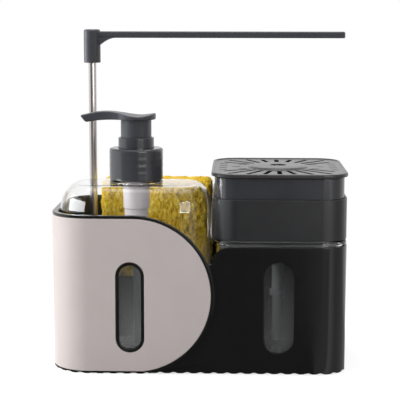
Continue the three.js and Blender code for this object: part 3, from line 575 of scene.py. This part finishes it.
def drain_slots():
    """Each opening as (x, y, length, width, angle): two fans of rays, and rows of dashes."""
    start, step, width, margin = 22, 13.5, 2.8, 7.5
    dash_length, dash_width = 5, 1.8
    half = Vector((PLATE_WIDTH / 2 - margin, PLATE_DEPTH / 2 - margin))
    slots = []
    for facing in (-90, 90):
        for k in range(-4, 5):
            angle = math.radians(facing + k * step)
            end = ray_end(angle, half, PLATE_CORNER - margin)
            middle = (start + end) / 2
            slots.append((middle * math.cos(angle), middle * math.sin(angle), end - start, width,
                          angle))
    for x, y in ((34.5, 5.3), (34.5, 16), (26.5, 0), (22.5, 10.7)):
        for across in (-1, 1):
            for along in (-1, 1) if y else (1,):
                slots.append((across * x, along * y, dash_length, dash_width, 0))
    return slots


def plate():
    """Drain plate: thin raised rim, slots with eased edges, a shallow crown, a locating ring."""
    low, sunk, top = 119.7, 121.55, 122.1  # underside, face and rim
    ease, rim = 0.3, 0.9  # roundings of the slots and of the rim
    around, around_slot = 14, 6
    # Rows of inset and height: the edge's foot, and the rim's way down to the face
    foot = ((0.4, low), (0.1, low + 0.15), (0, low + 0.4))
    dip = ((1.3, top), (1.55, top - 0.1), (1.65, top - 0.25), (1.75, sunk + 0.1), (2.0, sunk))
    # Rows of radius and height: the crown and the hole for the outlet
    dome = ((19.6, sunk), (19.1, sunk + 0.08), (18.4, top + 0.15), (17.4, top + 0.42),
            (12, top + 0.58), (5.4, top + 0.65), (5.1, top + 0.55), (5.0, top + 0.3), (5.0, low))
    # Rows of width, depth, corner radius and height: the ring below
    rails = ((75.1, 85.1, 12.25, 119.8), (75.1, 85.1, 12.25, 118.0), (74.5, 84.5, 11.95, 117.7),
             (72.9, 82.9, 11.15, 117.7), (72.3, 82.3, 10.85, 118.0), (72.3, 82.3, 10.85, 119.8))

    def level(inward, z):
        return ring(PLATE_WIDTH - 2 * inward, PLATE_DEPTH - 2 * inward, PLATE_CORNER - inward, z,
                    PRESS, around)

    def opening(x, y, length, width, angle, out, z):
        c, s = math.cos(angle), math.sin(angle)
        flat = ring(length + 2 * out, width + 2 * out, width / 2 + out, z, (0, 0), around_slot)
        return [(PRESS[0] + x + px * c - py * s, PRESS[1] + y + px * s + py * c, pz)
                for px, py, pz in flat]

    def bow(radius, height):
        return [(radius * (1 - math.cos(a)), height - radius + radius * math.sin(a))
                for a in quarter(5)]

    edge = [level(*row) for row in (*foot, *bow(rim, top), *dip)]
    holes = [[opening(*slot, *row) for row in ((0, low), *bow(ease, sunk))]
             for slot in drain_slots()]
    crown = [circle(radius, z, PRESS) for radius, z in dome]
    upper = sheet(edge[-1], crown[0], *(hole[-1] for hole in holes))
    lower = sheet(edge[0], crown[-1], *(hole[0] for hole in holes))
    disc = joined(walls(edge), walls(crown), upper, lower, *(walls(hole) for hole in holes))
    below = skin([ring(w, d, r, z, PRESS, around) for w, d, r, z in rails], True)
    piece("drain_tray_plate", *joined(disc, below), PLATE, "plate", "charcoal_plastic",
          "drain_plate")


# Rail: steel post and swivelling arm

def post():
    rod = [(0.4, 5.5, 0), (2.5, 5.5, 0.3), (2.5, 203, 0.4), (0.4, 203, 0)]
    piece("steel_post", *lathe(rod, POST, False, 14), POLISHED, "caddy", "polished_steel",
          "rail_post")


def arm():
    """Cloth rail: a round hub, a flat bar with a rounded tip and a curved gusset below it."""
    low, roof, top, radius, eye = 185.4, 203.3, 206.9, 5.4, 0.3
    clearance, overlap = 0.3, 0.02
    socket = (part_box("rail_bush")[1][0] / MM - POST[0]) + clearance
    bar_low, bar_top, half, reach, start = 201.4, 205.6, 3.5, 163.4, socket + overlap
    under, over, blunt = 0.6, 1.1, 0.1  # roundings of the bar's edges, and flat left at its tip
    drop, bend, length, bury, steps = 4.5, 5.4, 9.8, 0.8, 14  # of the gusset
    # The gusset's slices, as y and rise of the lower edge
    slices = ((-half, 0.5), (-half + 0.15, 0.15), (-half + 0.5, 0), (half - 0.5, 0),
              (half - 0.15, 0.15), (half, 0.5))
    hub = lathe([(eye, roof, 0), (socket, roof, 0), (socket, low, 0.2), (radius, low, 0.5),
                 (radius, top, 1.5), (eye, top, 0)], POST, False, 18)

    def level(inward, z):
        tip = half - inward
        plan = filleted([(start, -tip, 0), (reach - inward, -tip, tip - blunt),
                         (reach - inward, tip, tip - blunt), (start, tip, 0)], True, 10)
        return [(POST[0] + x, POST[1] + y, z) for x, y in plan]

    def side(y, rise):
        curve = [(start, bar_low - drop + rise)]
        for k in range(steps + 1):
            t = k / steps
            across = 2 * t * (1 - t) * bend + t * t * length
            curve.append((radius + across, bar_low - drop * (1 - t) ** 2 + rise * (1 - t)))
        curve += [(radius + length, bar_low + bury), (start, bar_low + bury)]
        return [(POST[0] + x, POST[1] + y, z) for x, z in curve]

    rings = [level(under * (1 - math.sin(a)), bar_low + under * (1 - math.cos(a)))
             for a in quarter(5)]
    rings += [level(over * (1 - math.sin(a)), bar_top - over * (1 - math.cos(a)))
              for a in reversed(quarter(5))]
    gusset = skin([side(y, rise) for y, rise in slices], False)
    piece("swivel_arm", *joined(hub, skin(rings, False), gusset), HEAD, "rail", "charcoal_plastic",
          "rail_arm")


# Springs and sponge

def coil(name, node, centre, body, across, wire, low, high, turns):
    """A wire spring coiled between two heights, on a mesh of its own."""
    steps, sides = 28 * turns, 10
    rings = []
    for k in range(steps + 1):
        angle = 2 * math.pi * turns * k / steps
        out = Vector((math.cos(angle), math.sin(angle), 0))
        height = low + wire / 2 + (high - low - wire) * k / steps
        middle = Vector((*centre, height)) + out * (across - wire) / 2
        rings.append([middle + (out * math.cos(a) + Vector((0, 0, math.sin(a)))) * wire / 2
                      for a in (2 * math.pi * n / sides for n in range(sides))])
    thing = piece(name, *skin(rings, False), WIRE, body, "spring_steel", node)
    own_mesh(thing)


def springs():
    coil("pump_coil", "pump_spring", PUMP, "pump_unit", across=11.0, wire=1.1, low=93.8,
         high=119.8, turns=6)
    coil("press_coil", "press_spring", PRESS, "deck", across=31.0, wire=1.6, low=84.5,
         high=112.0, turns=5)


def sponge():
    """A block of strands, roughened all over."""
    low, high = (Vector(v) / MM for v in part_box("sponge"))
    middle, size = (low + high) / 2, high - low
    pitch = 1.05
    counts = [max(2, round(s / pitch)) for s in size]
    points, faces = [], []
    for facing in range(3):
        u, v = (facing + 1) % 3, (facing + 2) % 3
        for side in (-1, 1):
            start = len(points)
            for i in range(counts[u] + 1):
                for j in range(counts[v] + 1):
                    p = [0.0, 0.0, 0.0]
                    p[facing] = side * size[facing] / 2
                    p[u] = size[u] * (i / counts[u] - 0.5)
                    p[v] = size[v] * (j / counts[v] - 0.5)
                    points.append(roughened(Vector(p), size) + middle)
            across = counts[v] + 1
            for i in range(counts[u]):
                for j in range(counts[v]):
                    k = start + i * across + j
                    face = (k, k + across, k + across + 1, k + 1)
                    faces.append(face if side > 0 else face[::-1])
    thing = piece("sponge_block", points, faces, SPONGE, "sponge_block", "yellow_sponge", "sponge")


def roughened(point, size):
    """The block's surface with rounded edges, pressed in where the gaps between strands lie."""
    soft, deepest = 4.0, 1.8  # rounding of the edges and limit of the gaps
    across, along, apart = 0.5, 0.26, 9  # how densely strands lie, and shift between their leans
    rest, gaps, waves, wave_scale = 0.7, 1.2, 0.6, 0.06
    core = Vector([max(-s / 2 + soft, min(s / 2 - soft, c)) for c, s in zip(point, size)])
    out = (point - core).normalized()
    place = core + out * soft
    strand = max(noise.noise(Vector(((place.x + lean * place.z) * across, place.y * across,
                                     place.z * along + lean * apart)))
                 for lean in (-0.5, 0.35))
    sink = rest - gaps * strand - waves * noise.noise(place * wave_scale)
    return place - out * min(deepest, max(0.0, sink))


# CAD nodes that stay: their edges are rounded by modifiers and their rounds shaded smooth

CAD_SEAM = 0.00002  # metres: points of the CAD mesh closer than this become one
# Faces that meet within FLAT become one, and edges sharper than CREASE are rounded
FLAT, CREASE = math.radians(1.0), math.radians(32)


def dress(name, material, edge):
    node = NODES[name]
    node.data.materials.clear()
    node.data.materials.append(material)
    for face in node.data.polygons:
        face.use_smooth = True
    node.modifiers.new("weld", "WELD").merge_threshold = CAD_SEAM
    flat = node.modifiers.new("flat", "DECIMATE")
    flat.decimate_type = "DISSOLVE"
    flat.angle_limit = FLAT
    short = node.modifiers.new("short", "WELD")
    short.mode = "CONNECTED"
    short.merge_threshold = edge * MM
    bevel = node.modifiers.new("edge", "BEVEL")
    bevel.width = edge * MM
    bevel.segments = 3
    bevel.limit_method = "ANGLE"
    bevel.angle_limit = CREASE
    bevel.miter_outer = "MITER_ARC"
    bevel.use_clamp_overlap = False
    node.modifiers.new("seam", "WELD").merge_threshold = SEAM
    node.modifiers.new("even", "WEIGHTED_NORMAL").keep_sharp = True


# Material, rounding in millimetres and nodes
KEPT = ((SATIN, 0.4, ("caddy_body",)),
        (SLEEVE, 0.45, ("tank_deck",)),
        (PLATE, 0.05, ("soap_outlet",)),
        (GLOSS, 0.5, ("press_tray",)),
        (PANEL, 0.45, ("fascia_panel",)),
        (WHITE, 0.2, ("rail_bush", "stem_guide", "pump_piston", "pump_stem", "cylinder_cap",
                      "cylinder_nut", "press_piston", "press_stem")),
        (RUBBER, 0.4, ("base_mat",)),
        (SEAL, 0.2, ("closure_gasket", "tank_gasket")),
        (POLISHED, 0.1, ("pump_ball", "press_ball")))


# Studio: floor, world, lamps and the photo's camera

def camera():
    """A camera fitted to the photo's straight edges."""
    place, angles = (0.02365, -0.7747, 0.21211), (8.23, 1.76, 0.09)
    data = bpy.data.cameras.new("camera")
    data.sensor_width = 36
    data.lens = 111.245
    data.clip_start = 0.01
    data.clip_end = 50
    cam = bpy.data.objects.new("camera", data)
    bpy.context.scene.collection.objects.link(cam)
    pitch, yaw, roll = (math.radians(a) for a in angles)
    ahead = Vector((-math.sin(yaw) * math.cos(pitch), math.cos(yaw) * math.cos(pitch),
                    -math.sin(pitch)))
    right = Vector((math.cos(yaw), math.sin(yaw), 0))
    up = right.cross(ahead)
    turn = Matrix((right, up, -ahead)).transposed() @ Matrix.Rotation(roll, 3, "Z")
    cam.matrix_world = Matrix.Translation(place) @ turn.to_4x4()
    bpy.context.scene.camera = cam


def straight(add, link):
    """One for rays from the eye, also through glass, that nothing has mirrored or scattered."""
    path = add("ShaderNodeLightPath").outputs
    turned = merged(add, link, path["Diffuse Depth"], path["Glossy Depth"])
    unturned = ranged(add, link, turned, 0.0, 1.0, 1.0, 0.0)
    through = merged(add, link, path["Is Transmission Ray"], unturned, how="MULTIPLY")
    return merged(add, link, path["Is Camera Ray"], through)


def room(add, link, way):
    """What a mirror sees along a level direction, next to a background of one."""
    unlit, lit_left, lit_right, far_right, near_right = 0.16, 1.35, 1.1, 0.5, 0.5
    side = parted(add, link, way)
    behind = ranged(add, link, side["Y"], -0.2, 0.4, unlit, 1.0)
    beside_camera = ranged(add, link, side["X"], 0.0, 0.11, 0.0, near_right)
    left = ranged(add, link, side["X"], -0.8, -0.97, 0.0, lit_left)
    right = merged(add, link, ranged(add, link, side["X"], 0.5, 0.68, 0.0, lit_right),
                   ranged(add, link, side["X"], 0.7, 0.95, lit_right, far_right), how="MINIMUM")
    return merged(add, link, behind, beside_camera, left, right)


def world():
    """White to the eye and through glass; else a room that is also lit from above."""
    lit_above = 0.9
    studio_world = bpy.data.worlds.new("studio")
    bpy.context.scene.world = studio_world
    studio_world.use_nodes = True
    tree = studio_world.node_tree
    tree.nodes.clear()
    add, link = tree.nodes.new, tree.links.new
    way = add("ShaderNodeTexCoord").outputs["Generated"]
    above = ranged(add, link, parted(add, link, way)["Z"], 0.5, 0.9, 0.0, lit_above)
    level = merged(add, link, straight(add, link), room(add, link, way), above)
    shine = add("ShaderNodeBackground")
    shine.inputs["Color"].default_value = (1, 1, 1, 1)
    link(level, shine.inputs["Strength"])
    link(shine.outputs[0], add("ShaderNodeOutputWorld").inputs["Surface"])


def floor():
    half, below = 6.0, -0.0001
    mesh = bpy.data.meshes.new("floor")
    corners = [(-half, -half, 0), (half, -half, 0), (half, half, 0), (-half, half, 0)]
    mesh.from_pydata(corners, [], [(0, 1, 2, 3)])
    mesh.materials.append(floor_look())
    plane = bpy.data.objects.new("floor", mesh)
    bpy.context.scene.collection.objects.link(plane)
    plane.location.z = below


def floor_look():
    """White floor with a pale shadow near the object that turns into the background farther out."""
    grey, own_light = (0.45, 0.45, 0.45, 1), 0.64  # near the object, where the lamps add the rest
    shadow_to, white_from = 0.13, 0.4  # metres from the middle
    foot = (0.07, 0.04, 0)  # half of the object's plan, from which mirrored directions start
    s = Shader("floor")
    s.set(color=grey, rough=0.9, spec=0.0)
    add, link = s.tree.nodes.new, s.link
    path = add("ShaderNodeLightPath").outputs
    direct = straight(add, link)
    seen = merged(add, link, direct, path["Is Glossy Ray"], path["Is Transmission Ray"])
    core = s.vectors("MAXIMUM", s.vectors("MINIMUM", s.place, foot), tuple(-c for c in foot))
    outward = s.vectors("NORMALIZE", s.vectors("SUBTRACT", s.place, core))
    white = merged(add, link, direct, room(add, link, outward))
    away = s.add("ShaderNodeVectorMath", operation="LENGTH")
    link(s.place, away.inputs[0])
    far = ranged(add, link, away.outputs["Value"], shadow_to, white_from, 0.0, 1.0)
    indirect = ranged(add, link, direct, 0.0, 1.0, 1.0, 0.0)
    glow, open_floor = s.add("ShaderNodeEmission"), s.add("ShaderNodeEmission")
    link(s.maths("MULTIPLY", white, own_light), glow.inputs["Strength"])
    link(white, open_floor.inputs["Strength"])
    near = s.add("ShaderNodeAddShader")
    link(s.main.outputs[0], near.inputs[0])
    link(glow.outputs[0], near.inputs[1])
    fade, pick = s.add("ShaderNodeMixShader"), s.add("ShaderNodeMixShader")
    link(merged(add, link, far, indirect), fade.inputs[0])
    link(near.outputs[0], fade.inputs[1])
    link(open_floor.outputs[0], fade.inputs[2])
    link(seen, pick.inputs[0])
    link(s.main.outputs[0], pick.inputs[1])
    link(fade.outputs[0], pick.inputs[2])
    link(pick.outputs[0], s.out.inputs["Surface"])
    return s.material


MIDDLE = (0, 0, 0.1)  # what most lamps aim at
CARD_PLACE, WINDOW_PLACE = (0.48, -0.87, 0.34), (-0.887, -0.57, 0.344)
SHOULDER, HUB = (-0.073, -0.041, 0.102), (-0.071, 0.03, 0.195)  # of the bottle and of the rail


def lamp(name, place, aim, size, power, colour=(1, 1, 1)):
    data = bpy.data.lights.new(name, "AREA")
    data.shape = "RECTANGLE"
    data.size, data.size_y = size
    data.energy = power
    data.color = colour
    light = bpy.data.objects.new(name, data)
    bpy.context.scene.collection.objects.link(light)
    light.location = place
    light.rotation_euler = (Vector(aim) - Vector(place)).to_track_quat("-Z", "Y").to_euler()
    return light


def linked(light, how, *things):
    """Lets a light reach these objects only, or all but these."""
    group = bpy.data.collections.new(light.name)
    for thing in things:
        group.objects.link(thing)
    for member in group.collection_objects:
        member.light_linking.link_state = how
    light.light_linking.receiver_collection = group


def gleam(name, mirror, place, aim, size, power):
    """A soft box that only one object mirrors, straight to the eye."""
    light = lamp(name, place, aim, size, power, (0.96, 0.98, 1.0))
    light.visible_diffuse = light.visible_transmission = False
    light.data.cycles.max_bounces = 1
    linked(light, "INCLUDE", mirror)


def studio():
    """Soft lamps that light the object, then cards that only mirrors show."""
    bpy.context.scene.view_settings.view_transform = "Standard"
    world()
    floor()
    left = lamp("left", (-1.1, -0.31, 0.4), MIDDLE, (1.0, 1.0), 20.0, (0.94, 0.99, 1.0))
    left.visible_glossy = False
    lamp("top", (0.1, 0.1, 1.2), MIDDLE, (0.9, 0.9), 6)
    front = lamp("front", (0.72, -0.68, 0.16), MIDDLE, (0.3, 0.26), 0.4, (0.97, 0.98, 1.0))
    front.visible_glossy = False
    vessel, rail, spout = (bpy.data.objects[name]
                           for name in ("clear_bottle", "swivel_arm", "spout_head"))
    card = lamp("card", CARD_PLACE, MIDDLE, (0.6, 0.55), 4.5)
    card.visible_diffuse = False
    linked(card, "EXCLUDE", rail, spout)
    gleam("left_window", vessel, WINDOW_PLACE, SHOULDER, (1.2, 0.62), 64.0)
    gleam("right_window", vessel, CARD_PLACE, MIDDLE, (0.64, 0.62), 60.0)
    gleam("left_glow", NODES["tank_deck"], WINDOW_PLACE, MIDDLE, (1.2, 0.62), 9.0)
    gleam("hub_glow", rail, (-1.05, 0.15, 0.27), HUB, (0.4, 0.5), 3.6)


camera()
bottle()
pump()
tank()
plate()
post()
arm()
springs()
sponge()
for look, rounding, names in KEPT:
    for each in names:
        dress(each, look, rounding)
studio()
